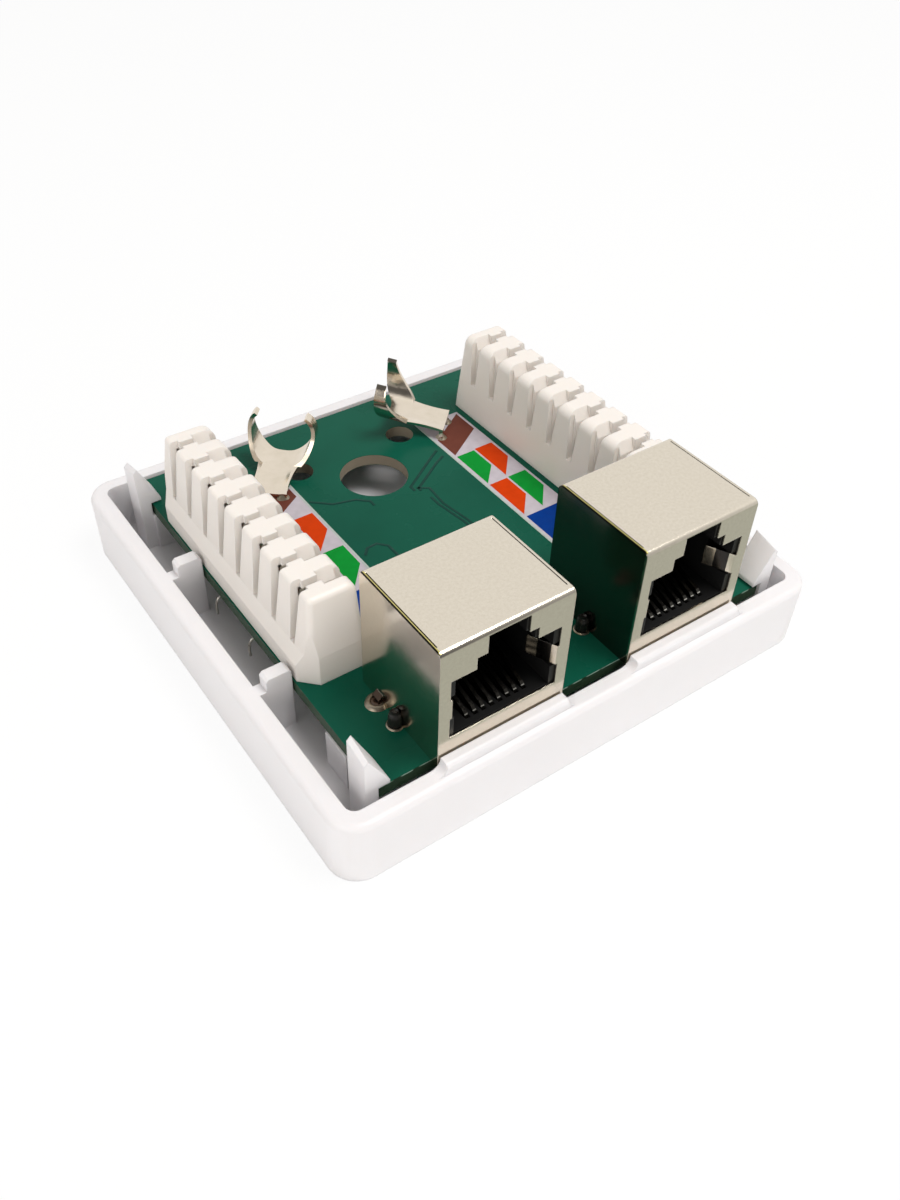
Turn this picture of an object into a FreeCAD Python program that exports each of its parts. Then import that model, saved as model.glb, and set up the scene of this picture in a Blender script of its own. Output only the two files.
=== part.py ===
import FreeCAD, Part
import math
import os
import re
import Sketcher
from FreeCAD import Placement, Rotation, Vector

# A twin jack box without its cover: a moulded tray, a circuit board, two shielded jacks,
# two blocks of wire terminals and two forked shield clamps.
# Frame: origin in the middle of the tray's underside, mouths of the jacks towards -Y, +Z up.

# Driving sizes in millimetres and degrees
SIZES = {
    # Tray
    "tray_width": 65.8,
    "tray_depth": 64.6,
    "tray_height": 8.8,
    "tray_wall": 2.2,
    "tray_floor": 2.0,
    "tray_corner": 3.5,
    "tray_inner_corner": 1.2,
    "tray_rim_round": 0.8,
    "screw_hole_radius": 2.1,
    # Lips of the tray in front of the jacks
    "lip_rise": 1.35,
    "lip_thick": 1.3,
    "lip_inset": 0.2,
    "lip_round": 0.5,
    "lip_end_round": 1.25,
    # Ribs of the tray beside the board
    "rib_thick": 1.6,
    "rib_top": 10.5,
    "rib_step": 0.85,
    "rib_round": 0.35,
    "rib_front_y": -11.1,
    "rib_back_y": 10.5,
    # Posts under the board, and how far they stand from its front and back edge
    "post_width": 3.6,
    "post_length": 4.2,
    "post_front_inset": 8.05,
    "post_back_inset": 3.65,
    # Snap clips over the board's edge, lower towards the tray's corners
    "clip_length": 3.2,
    "clip_thick": 1.5,
    "clip_nose": 1.35,
    "clip_nose_drop": 0.5,
    "clip_low_rise": 5.0,
    "clip_high_rise": 5.8,
    "clip_top": 0.5,
    "clip_front_inset": 1.35,
    "clip_back_inset": 3.65,
    # Circuit board
    "board_thick": 1.6,
    "board_bottom": 7.0,
    "board_side_space": 4.05,
    "board_front_gap": 1.35,
    "board_back_gap": 0.45,
    "board_side_gap": 0.2,
    "board_clip_gap": 0.25,
    "driver_hole_radius": 4.5,
    "driver_hole_inset": 15.25,
    "peg_hole_radius": 1.9,
    "peg_hole_x": 7.9,
    "peg_hole_inset": 9.25,
    # Jack shield, folded from tinned strip
    "jack_spacing": 25.15,
    "jack_front_gap": 0.15,
    "shield_width": 15.9,
    "shield_depth": 14.0,
    "shield_height": 16.0,
    "shield_sheet": 0.25,
    "shield_bend": 0.7,
    "shield_seam": 0.14,
    "seam_front": 1.1,
    "seam_back": 0.8,
    # Mouth of the jack: plug opening, then two steps for the latch
    "mouth_floor": 3.65,
    "mouth_top": 11.75,
    "latch_step_top": 13.28,
    "latch_slot_top": 15.5,
    "window_half": 6.65,
    "mouth_half": 5.95,
    "latch_step_half": 3.7,
    "latch_slot_half": 2.5,
    "rim_lap": 0.25,
    # Legs of the shield
    "leg_width": 1.2,
    "leg_jog": 0.55,
    "leg_jog_low": 0.75,
    "leg_jog_high": 1.35,
    "leg_drop": 3.2,
    "leg_front_y": 7.05,
    "leg_back_y": 10.65,
    "leg_hole_half": 0.75,
    # Grounding fingers at the sides of the window
    "finger_low": 6.45,
    "finger_high": 9.05,
    "finger_reach": 3.1,
    "finger_turn_in": 1.5,
    "finger_root": 0.35,
    "finger_gap": 0.25,
    # Jack housing and its comb
    "housing_gap": 0.05,
    "housing_top_gap": 0.1,
    "housing_back_wall": 1.2,
    "comb_thick": 1.4,
    "comb_top": 8.6,
    "comb_slot_depth": 1.0,
    # Contact wires of the jack
    "wire_count": 8,
    "wire_pitch": 1.02,
    "wire_width": 0.4,
    "wire_thick": 0.35,
    "wire_gap": 0.1,
    "wire_channel_depth": 0.8,
    "wire_nose_y": 1.3,
    "wire_nose_rise": 0.98,
    "wire_end_gap": 0.5,
    "wire_end_z": 7.0,
    "wire_near_tail_y": 8.45,
    "wire_far_tail_y": 10.95,
    "wire_tail_drop": 3.4,
    "wire_hole_half": 0.42,
    # Terminal block
    "block_edge_gap": 0.2,
    "block_jack_gap": 1.95,
    "block_width": 7.75,
    "block_length": 36.2,
    "block_height": 11.5,
    "block_top_inner": 0.4,
    "block_top_outer": 6.1,
    "block_inner_round": 1.3,
    "block_outer_round": 0.5,
    "block_end_round": 0.7,
    "block_end_taper": 0.9,
    "block_end_straight": 4.0,
    "block_corner_cut": 1.9,
    "flange_height": 2.4,
    "shoulder_height": 4.2,
    "shoulder_x": 7.0,
    # Wire slots of the terminal block
    "slot_count": 8,
    "slot_pitch": 4.14,
    "slot_width": 0.9,
    "slot_floor": 4.9,
    "funnel_width": 2.3,
    "funnel_depth": 1.5,
    "funnel_length": 3.3,
    "outer_groove_width": 1.8,
    "outer_groove_depth": 1.0,
    "inner_groove_width": 1.9,
    "inner_groove_depth": 0.7,
    # Slit contacts of the terminal block
    "fork_x": 5.0,
    "fork_sheet": 0.5,
    "fork_width": 2.6,
    "fork_top": 10.3,
    "fork_slit": 0.36,
    "fork_slit_floor": 4.3,
    "fork_lead_in": 1.1,
    "fork_foot": 0.3,
    "link_thick": 0.6,
    "link_width": 0.6,
    "tail_outer_x": 6.5,
    "tail_inner_x": 3.4,
    "tail_thick": 0.5,
    "tail_drop": 3.8,
    "tail_hole_half": 0.45,
    "contact_gap": 0.15,
    # Forked shield clamp
    "clamp_x": 13.7,
    "clamp_inset": 11.65,
    "clamp_turn": 45.0,
    "clamp_sheet": 0.5,
    "left_clamp_rise": 0.45,
    "right_clamp_rise": 1.2,
    "clamp_tilt": 9.0,
    "clamp_foot_width": 5.4,
    "clamp_neck_width": 4.7,
    "clamp_trough_width": 5.3,
    "clamp_trough_lift": 0.45,
    "clamp_belly_width": 8.4,
    "clamp_belly_height": 2.8,
    "clamp_tip_spread": 6.5,
    "clamp_height": 5.5,
    "clamp_heel_y": 7.1,
    "clamp_lip_y": 8.2,
    "clamp_wing_end_y": 9.4,
    "clamp_flare_y": 4.8,
    "clamp_shoulder_y": 6.55,
    "clamp_shoulder_height": 2.0,
    "clamp_horn_y": 7.55,
    "clamp_horn_height": 3.1,
    "clamp_tip_y": 8.1,
    "clamp_tip_width": 1.4,
    "clamp_leg_offset": 1.95,
    "clamp_leg_width": 1.1,
    "clamp_leg_drop": 3.0,
    "clamp_hole_half": 0.7,
}

SIDES = {"left": -1, "right": 1}
CUT_MARGIN = 1.0

doc = FreeCAD.newDocument("jack_box")
sheet = doc.addObject("Spreadsheet::Sheet", "Sizes")
for row, (alias, number) in enumerate(SIZES.items(), start=1):
    sheet.set(f"A{row}", alias)
    sheet.set(f"B{row}", str(number))
    sheet.setAlias(f"B{row}", alias)
doc.recompute()


def bound(formula):
    """Point every size name in a formula at its cell in the sheet."""
    return re.sub(r"\b(?!cos\b|sin\b)[a-z]\w+", r"Sizes.\g<0>", formula)


def origin_plane(body, role):
    return next(item for item in body.Origin.OriginFeatures if item.Role == role)


def new_body(label, x="0", y="0", z="0", turn="0"):
    """Start a sub-part whose place in the frame follows the sheet."""
    body = doc.addObject("PartDesign::Body", label)
    body.Label = label
    body.Placement = Placement(Vector(), Rotation(Vector(0, 0, 1), 0))
    body.setExpression("Placement.Base.x", bound(x))
    body.setExpression("Placement.Base.y", bound(y))
    body.setExpression("Placement.Base.z", bound(z))
    body.setExpression("Placement.Rotation.Angle", bound(turn))
    return body


def new_sketch(body, role, lift="0"):
    sketch = body.newObject("Sketcher::SketchObject", f"{body.Name}_sketch")
    sketch.AttachmentSupport = (origin_plane(body, role), [""])
    sketch.MapMode = "FlatFace"
    sketch.setExpression("AttachmentOffset.Base.z", bound(lift))
    return sketch


def hold(sketch, geometry, point, x, y):
    """Tie one point of a sketch to its distances from the origin."""
    place = sketch.getPoint(geometry, point)
    for kind, start, formula in (("DistanceX", place.x, x), ("DistanceY", place.y, y)):
        index = sketch.addConstraint(Sketcher.Constraint(kind, -1, 1, geometry, point, start))
        sketch.setExpression(f"Constraints[{index}]", bound(formula))


def polygon(sketch, corners):
    """Draw a closed outline through corners given as pairs of formulas."""
    count = len(corners)
    first = sketch.GeometryCount
    ring = [Vector(math.cos(2 * math.pi * k / count), math.sin(2 * math.pi * k / count), 0)
            for k in range(count)]
    for k in range(count):
        sketch.addGeometry(Part.LineSegment(ring[k], ring[(k + 1) % count]))
    for k in range(count):
        following = first + (k + 1) % count
        sketch.addConstraint(Sketcher.Constraint("Coincident", first + k, 2, following, 1))
    for k, (x, y) in enumerate(corners):
        hold(sketch, first + k, 1, x, y)


def rectangle(sketch, x_low, x_high, y_low, y_high):
    polygon(sketch, [(x_low, y_low), (x_high, y_low), (x_high, y_high), (x_low, y_high)])


def circle(sketch, x, y, radius):
    geometry = sketch.addGeometry(Part.Circle(Vector(), Vector(0, 0, 1), 1))
    hold(sketch, geometry, 3, x, y)
    index = sketch.addConstraint(Sketcher.Constraint("Radius", geometry, 1))
    sketch.setExpression(f"Constraints[{index}]", bound(radius))


def pad(body, sketch, length, centred=False):
    feature = body.newObject("PartDesign::Pad", f"{body.Name}_pad")
    feature.Profile = sketch
    feature.SideType = "Symmetric" if centred else "One side"
    feature.setExpression("Length", bound(length))
    return feature


def pocket(body, sketch, depth=None, reverse=False):
    feature = body.newObject("PartDesign::Pocket", f"{body.Name}_pocket")
    feature.Profile = sketch
    feature.Reversed = reverse
    if depth is None:
        feature.Type = "ThroughAll"
    else:
        feature.setExpression("Length", bound(depth))
    return feature


def round_edges(body, radius, wanted):
    """Fillet the edges of the body so far for which wanted(edge) holds."""
    doc.recompute()
    base = body.Tip
    names = [f"Edge{k}" for k, edge in enumerate(base.Shape.Edges, start=1) if wanted(edge)]
    feature = body.newObject("PartDesign::Fillet", f"{body.Name}_fillet")
    feature.Base = (base, names)
    feature.setExpression("Radius", bound(radius))
    doc.recompute()
    return feature


def repeat_along_y(body, features, pitch, count):
    """Repeat features along the body's Y axis, centred pitch by pitch from the first."""
    pattern = body.newObject("PartDesign::LinearPattern", f"{body.Name}_pattern")
    pattern.Originals = features
    pattern.Direction = (next(item for item in body.Origin.OriginFeatures
                              if item.Role == "Y_Axis"), [""])
    pattern.setExpression("Length", bound(f"({count} - 1) * ({pitch})"))
    pattern.setExpression("Occurrences", bound(count))
    body.Tip = pattern
    return pattern


def is_upright(edge):
    ends = [vertex.Point for vertex in edge.Vertexes]
    return len(ends) == 2 and (ends[0] - ends[1]).cross(Vector(0, 0, 1)).Length < 1e-6


def lies_along_x(edge, y, z):
    """True for an edge parallel to X at the given place in the body's frame."""
    return all(abs(vertex.Y - y) < 1e-4 and abs(vertex.Z - z) < 1e-4 for vertex in edge.Vertexes)


BOARD_TOP = "(board_bottom + board_thick)"
BOARD_HALF = "(tray_width / 2 - tray_wall - board_side_space)"
BOARD_FRONT = "(tray_wall - tray_depth / 2 + board_front_gap)"
BOARD_BACK = "(tray_depth / 2 - tray_wall - board_back_gap)"
JACK_FRONT = "(tray_wall - tray_depth / 2 + jack_front_gap)"
MOUTH_BACK = "(shield_depth - shield_sheet - housing_gap - housing_back_wall)"
BLOCK_X = f"({BOARD_HALF} - block_edge_gap - block_width)"
BLOCK_Y = f"({JACK_FRONT} + shield_depth + block_jack_gap + block_length / 2)"
DRIVER_Y = f"({BOARD_BACK} - driver_hole_inset)"
CLAMP_Y = f"({BOARD_BACK} - clamp_inset)"


def mirror_across(body, features):
    """Repeat features on the other side of the body's YZ plane."""
    mirrored = body.newObject("PartDesign::Mirrored", f"{body.Name}_mirrored")
    mirrored.Originals = features
    mirrored.MirrorPlane = (origin_plane(body, "YZ_Plane"), [""])
    body.Tip = mirrored
    return mirrored


def clip_profile(tray, y, rise):
    """Section of the left snap clips: stem, hook under the nose, ramp and crest."""
    sketch = new_sketch(tray, "XZ_Plane", f"-({y})")
    inner = f"-({BOARD_HALF} + board_side_gap)"
    hook = f"{BOARD_TOP} + board_clip_gap"
    crest = f"{BOARD_TOP} + {rise}"
    polygon(sketch, [(inner, "tray_floor"),
                     (inner, hook),
                     (f"{inner} + clip_nose", hook),
                     (f"{inner} + clip_nose", f"{hook} + clip_nose_drop"),
                     (f"{inner} - clip_thick + clip_top", crest),
                     (f"{inner} - clip_thick", f"{crest} - clip_top"),
                     (f"{inner} - clip_thick", "tray_floor")])
    return sketch


def make_tray():
    """Moulded tray with lips, ribs, posts, snap clips and one screw hole."""
    tray = new_body("base_tray")
    outline = new_sketch(tray, "XY_Plane")
    rectangle(outline, "-tray_width / 2", "tray_width / 2", "-tray_depth / 2", "tray_depth / 2")
    pad(tray, outline, "tray_height")
    round_edges(tray, "tray_corner", is_upright)

    inside = new_sketch(tray, "XY_Plane", "tray_height")
    rectangle(inside, "tray_wall - tray_width / 2", "tray_width / 2 - tray_wall",
              "tray_wall - tray_depth / 2", "tray_depth / 2 - tray_wall")
    pocket(tray, inside, "tray_height - tray_floor")
    half_width = sheet.tray_width / 2
    half_depth = sheet.tray_depth / 2
    wall = sheet.tray_wall
    top = sheet.tray_height

    def in_inner_corner(edge):
        spot = edge.CenterOfMass
        return (is_upright(edge) and abs(abs(spot.x) - half_width + wall) < 1e-4
                and abs(abs(spot.y) - half_depth + wall) < 1e-4)

    def on_outer_rim(edge):
        box = edge.BoundBox
        reach = max(abs(box.XMin), abs(box.XMax)) - half_width
        depth = max(abs(box.YMin), abs(box.YMax)) - half_depth
        return abs(box.ZMin - top) < 1e-4 and max(reach, depth) > -wall / 2

    round_edges(tray, "tray_inner_corner", in_inner_corner)
    round_edges(tray, "tray_rim_round", on_outer_rim)

    lips = new_sketch(tray, "XY_Plane", "tray_floor")
    for sign in SIDES.values():
        rectangle(lips, f"{sign} * jack_spacing / 2 - shield_width / 2 + lip_inset",
                  f"{sign} * jack_spacing / 2 + shield_width / 2 - lip_inset",
                  "tray_wall - tray_depth / 2 - lip_thick", "tray_wall - tray_depth / 2")
    pad(tray, lips, "tray_height + lip_rise - tray_floor")
    lip_back = wall - half_depth
    lip_front = lip_back - sheet.lip_thick
    lip_top = top + sheet.lip_rise
    lip_ends = [sign * sheet.jack_spacing / 2 + end * (sheet.shield_width / 2 - sheet.lip_inset)
                for sign in SIDES.values() for end in (-1, 1)]

    def is_lip_foot(edge):
        spot = edge.CenterOfMass
        return (abs(spot.z - top) < 1e-4 and abs(spot.y - (lip_front + lip_back) / 2) < 1e-4
                and any(abs(spot.x - x) < 1e-4 for x in lip_ends))

    round_edges(tray, "lip_end_round", is_lip_foot)
    round_edges(tray, "lip_round", lambda edge: lies_along_x(edge, lip_front, lip_top))

    for place in ("rib_front_y", "rib_back_y"):
        ribs = new_sketch(tray, "XZ_Plane", f"-{place}")
        for sign in SIDES.values():
            wall_x = f"{sign} * (tray_width / 2 - tray_wall)"
            step_x = f"{wall_x} - {sign} * rib_step"
            board_x = f"{sign} * ({BOARD_HALF} + board_side_gap)"
            polygon(ribs, [(wall_x, "tray_floor"),
                           (wall_x, "tray_height"),
                           (step_x, "tray_height"),
                           (step_x, "rib_top - rib_round"),
                           (f"{step_x} - {sign} * rib_round", "rib_top"),
                           (f"{board_x} + {sign} * rib_round", "rib_top"),
                           (board_x, "rib_top - rib_round"),
                           (board_x, "tray_floor")])
        pad(tray, ribs, "rib_thick", centred=True)

    posts = new_sketch(tray, "XY_Plane", "tray_floor")
    for place in (f"{BOARD_FRONT} + post_front_inset", f"{BOARD_BACK} - post_back_inset"):
        for sign in SIDES.values():
            rectangle(posts, f"{sign} * ({BOARD_HALF} + board_side_gap)",
                      f"{sign} * ({BOARD_HALF} + board_side_gap - post_width)",
                      f"{place} - post_length / 2", f"{place} + post_length / 2")
    pad(tray, posts, "board_bottom - tray_floor")

    clips = []
    for place, towards_corner in ((f"{BOARD_FRONT} + clip_front_inset", -1),
                                  (f"{BOARD_BACK} - clip_back_inset", 1)):
        clip = tray.newObject("PartDesign::AdditiveLoft", "tray_clip")
        clip.Profile = clip_profile(tray, f"{place} + {towards_corner} * clip_length / 2",
                                    "clip_low_rise")
        clip.Sections = [clip_profile(tray, f"{place} - {towards_corner} * clip_length / 2",
                                      "clip_high_rise")]
        clips.append(clip)
    mirror_across(tray, clips)

    screw = new_sketch(tray, "XY_Plane", "tray_floor")
    circle(screw, "0", DRIVER_Y, "screw_hole_radius")
    pocket(tray, screw)
    return tray


def slot_offset(index):
    """Formula for how far a slot lies from the middle of its block."""
    return f"({index} - (slot_count - 1) / 2) * slot_pitch"


def wire_offset(index):
    """Formula for how far a contact wire lies from the middle of its jack."""
    return f"({index} - (wire_count - 1) / 2) * wire_pitch"


def is_outer_tail(index):
    return index % 2 == 1


def square_hole(sketch, x, y, half):
    rectangle(sketch, f"{x} - {half}", f"{x} + {half}", f"{y} - {half}", f"{y} + {half}")


def make_board():
    """Circuit board with the driver hole, two peg holes and a hole for each pin."""
    board = new_body("circuit_board")
    outline = new_sketch(board, "XY_Plane", "board_bottom")
    rectangle(outline, f"-{BOARD_HALF}", BOARD_HALF, BOARD_FRONT, BOARD_BACK)
    circle(outline, "0", DRIVER_Y, "driver_hole_radius")
    pad(board, outline, "board_thick")

    for sign in SIDES.values():
        pegs = new_sketch(board, "XY_Plane", "board_bottom")
        circle(pegs, f"{sign} * peg_hole_x", f"{BOARD_BACK} - peg_hole_inset", "peg_hole_radius")
        for end in (-1, 1):
            for place in ("leg_front_y", "leg_back_y"):
                middle = "(shield_width / 2 + leg_jog - shield_sheet / 2)"
                square_hole(pegs, f"{sign} * jack_spacing / 2 + {end} * {middle}",
                            f"{JACK_FRONT} + {place}", "leg_hole_half")
            square_hole(pegs, f"{sign} * clamp_x + {end} * clamp_leg_offset * cos(clamp_turn)",
                        f"{CLAMP_Y} + {sign * end} * clamp_leg_offset * sin(clamp_turn)",
                        "clamp_hole_half")
        pocket(board, pegs, reverse=True)

        tails = new_sketch(board, "XY_Plane", "board_bottom")
        for index in range(round(sheet.slot_count)):
            tail = "tail_outer_x" if is_outer_tail(index) else "tail_inner_x"
            square_hole(tails, f"{sign} * ({BLOCK_X} + {tail})",
                        f"{BLOCK_Y} + {sign} * {slot_offset(index)}", "tail_hole_half")
        pocket(board, tails, reverse=True)

        wires = new_sketch(board, "XY_Plane", "board_bottom")
        for index in range(round(sheet.wire_count)):
            tail = "wire_far_tail_y" if is_outer_tail(index) else "wire_near_tail_y"
            square_hole(wires, f"{sign} * jack_spacing / 2 + {wire_offset(index)}",
                        f"{JACK_FRONT} + {tail} + wire_thick / 2", "wire_hole_half")
        pocket(board, wires, reverse=True)
    return board


def mouth_outline(half, step_half, slot_half, top):
    """Outline of a plug opening with the latch steps above it."""
    right = [(half, "mouth_floor"), (half, "mouth_top"), (step_half, "mouth_top"),
             (step_half, "latch_step_top"), (slot_half, "latch_step_top"), (slot_half, top)]
    left = [(f"-({x})", z) for x, z in reversed(right)]
    return right + left


def jack_body(label, side):
    """Sub-part of a jack: its frame has Y from the mouth backwards and Z from the board."""
    return new_body(label, f"{SIDES[side]} * jack_spacing / 2", JACK_FRONT, BOARD_TOP)


def make_shield(side):
    """Shield folded from thin strip: open below, with a window, legs and fingers."""
    shield = jack_body(f"{side}_jack_shield", side)
    half = "shield_width / 2"
    outline = new_sketch(shield, "XY_Plane")
    rectangle(outline, f"-{half}", half, "0", "shield_depth")
    pad(shield, outline, "shield_height")
    height = sheet.shield_height
    depth = sheet.shield_depth
    skin = sheet.shield_sheet
    round_edges(shield, "shield_bend", lambda edge: lies_along_x(edge, 0, height)
                or lies_along_x(edge, depth, height))

    inside = new_sketch(shield, "XY_Plane")
    rectangle(inside, f"shield_sheet - {half}", f"{half} - shield_sheet",
              "shield_sheet", "shield_depth - shield_sheet")
    pocket(shield, inside, "shield_height - shield_sheet", reverse=True)
    round_edges(shield, "shield_bend - shield_sheet",
                lambda edge: lies_along_x(edge, skin, height - skin)
                or lies_along_x(edge, depth - skin, height - skin))

    window = new_sketch(shield, "XZ_Plane")
    polygon(window, mouth_outline("window_half", "latch_step_half", "latch_slot_half",
                                  "latch_slot_top"))
    pocket(shield, window, "shield_bend")

    seams = new_sketch(shield, "XY_Plane", "shield_height")
    for end in (-1, 1):
        rectangle(seams, f"{end} * ({half} - shield_sheet - shield_seam)",
                  f"{end} * ({half} - shield_sheet)",
                  "seam_front", "shield_depth - seam_back")
    pocket(shield, seams, "shield_sheet")

    for place in ("leg_front_y", "leg_back_y"):
        legs = new_sketch(shield, "XZ_Plane", f"-{place}")
        for end in (-1, 1):
            face = f"{end} * {half}"
            middle = f"{end} * ({half} - shield_sheet / 2)"
            outside = f"{end} * ({half} + leg_jog)"
            inner = f"{end} * ({half} + leg_jog - shield_sheet)"
            polygon(legs, [(middle, "leg_jog_high"), (face, "leg_jog_high"),
                           (outside, "leg_jog_low"), (outside, "-leg_drop"),
                           (inner, "-leg_drop"), (inner, "leg_jog_low - shield_sheet / 2"),
                           (middle, "leg_jog_high - shield_sheet")])
        pad(shield, legs, "leg_width", centred=True)

    fingers = new_sketch(shield, "XY_Plane", "finger_low")
    for end in (-1, 1):
        root = f"{end} * (window_half + finger_root)"
        bend = f"{end} * window_half"
        tip = f"{end} * (window_half - finger_turn_in)"
        polygon(fingers, [(root, "0"), (root, "shield_sheet"), (bend, "shield_sheet"),
                          (tip, "finger_reach"),
                          (f"{tip} - {end} * shield_sheet", "finger_reach"),
                          (f"{bend} - {end} * shield_sheet", "0")])
    pad(shield, fingers, "finger_high - finger_low")
    return shield


def make_housing(side):
    """Black housing: plug mouth, latch steps, wire channels and finger recesses."""
    housing = jack_body(f"{side}_jack_housing", side)
    front = "(shield_sheet + housing_gap)"
    half = "(shield_width / 2 - shield_sheet - housing_gap)"
    outline = new_sketch(housing, "XY_Plane")
    rectangle(outline, f"-{half}", half, front, f"shield_depth - {front}")
    pad(housing, outline, "shield_height - shield_sheet - housing_top_gap")
    top = sheet.shield_height - sheet.shield_sheet - sheet.housing_top_gap
    near = sheet.shield_sheet + sheet.housing_gap
    far = sheet.shield_depth - near
    round_edges(housing, "shield_bend - shield_sheet",
                lambda edge: lies_along_x(edge, near, top) or lies_along_x(edge, far, top))

    mouth = new_sketch(housing, "XZ_Plane", f"-{front}")
    polygon(mouth, mouth_outline("mouth_half", "latch_step_half - rim_lap",
                                 "latch_slot_half - rim_lap", "latch_slot_top - rim_lap"))
    pocket(housing, mouth, f"{MOUTH_BACK} - {front}")

    recess = new_sketch(housing, "XZ_Plane", f"-{front}")
    for end in (-1, 1):
        rectangle(recess, f"{end} * (mouth_half - finger_gap)",
                  f"{end} * (window_half + finger_gap)",
                  "finger_low - finger_gap", "finger_high + finger_gap")
    pocket(housing, recess, "finger_reach + finger_gap")

    channels = new_sketch(housing, "XY_Plane", "mouth_floor")
    wells = new_sketch(housing, "XY_Plane", "mouth_floor")
    for index in range(round(sheet.wire_count)):
        low = f"{wire_offset(index)} - wire_width / 2 - wire_gap"
        high = f"{wire_offset(index)} + wire_width / 2 + wire_gap"
        tail = "wire_far_tail_y" if is_outer_tail(index) else "wire_near_tail_y"
        rectangle(channels, low, high, "wire_nose_y - 2 * wire_gap",
                  "wire_far_tail_y + wire_thick + wire_gap")
        rectangle(wells, low, high, f"{tail} - wire_gap", f"{tail} + wire_thick + wire_gap")
    pocket(housing, channels, "wire_channel_depth")
    pocket(housing, wells)
    return housing


def make_comb(side):
    """Comb at the back of the mouth that keeps the springs of the wires apart."""
    comb = jack_body(f"{side}_contact_comb", side)
    back = MOUTH_BACK
    outline = new_sketch(comb, "XY_Plane", "mouth_floor")
    rectangle(outline, "housing_gap - mouth_half", "mouth_half - housing_gap",
              f"{back} - comb_thick", back)
    pad(comb, outline, "comb_top - mouth_floor")
    slots = new_sketch(comb, "XY_Plane", "comb_top")
    for index in range(round(sheet.wire_count)):
        rectangle(slots, f"{wire_offset(index)} - wire_width / 2 - wire_gap",
                  f"{wire_offset(index)} + wire_width / 2 + wire_gap",
                  f"{back} - comb_thick - wire_gap", f"{back} - comb_thick + comb_slot_depth")
    pocket(comb, slots, "comb_top - mouth_floor")
    return comb


def make_jack_contact(side, index):
    """Flat contact wire: tail, run along its channel, nose, and the sloping spring."""
    offset = wire_offset(index)
    contact = new_body(f"{side}_jack_contact_{index + 1}",
                       f"{SIDES[side]} * jack_spacing / 2 + {offset}", JACK_FRONT, BOARD_TOP)
    tail = "wire_far_tail_y" if is_outer_tail(index) else "wire_near_tail_y"
    bed = "(mouth_floor - wire_channel_depth)"
    end = f"{MOUTH_BACK} - comb_thick + comb_slot_depth - wire_end_gap"
    outline = new_sketch(contact, "YZ_Plane")
    polygon(outline, [(tail, "-wire_tail_drop"),
                      (f"{tail} + wire_thick", "-wire_tail_drop"),
                      (f"{tail} + wire_thick", f"{bed} + wire_thick"),
                      ("wire_nose_y + 2 * wire_thick", f"{bed} + wire_thick"),
                      ("wire_nose_y + wire_thick", f"{bed} + 1.4 * wire_thick"),
                      ("wire_nose_y + 2 * wire_thick", f"{bed} + wire_nose_rise"),
                      (end, "wire_end_z - wire_thick"),
                      (end, "wire_end_z"),
                      ("wire_nose_y + 1.4 * wire_thick", f"{bed} + wire_nose_rise + wire_thick"),
                      ("wire_nose_y + wire_thick / 3", f"{bed} + wire_nose_rise"),
                      ("wire_nose_y", f"{bed} + wire_nose_rise / 2"),
                      ("wire_nose_y + wire_thick", bed),
                      (tail, bed)])
    pad(contact, outline, "wire_width", centred=True)
    return contact


def block_body(label, side, shift="0"):
    """Sub-part of a terminal block: X outwards from its inner foot, Z from the board.

    Both blocks are the same moulding, so the left one is the right one turned round.
    """
    sign = SIDES[side]
    turn = "0" if sign > 0 else "180"
    return new_body(label, f"{sign} * {BLOCK_X}", f"{BLOCK_Y} + {sign} * ({shift})",
                    BOARD_TOP, turn)


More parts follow.
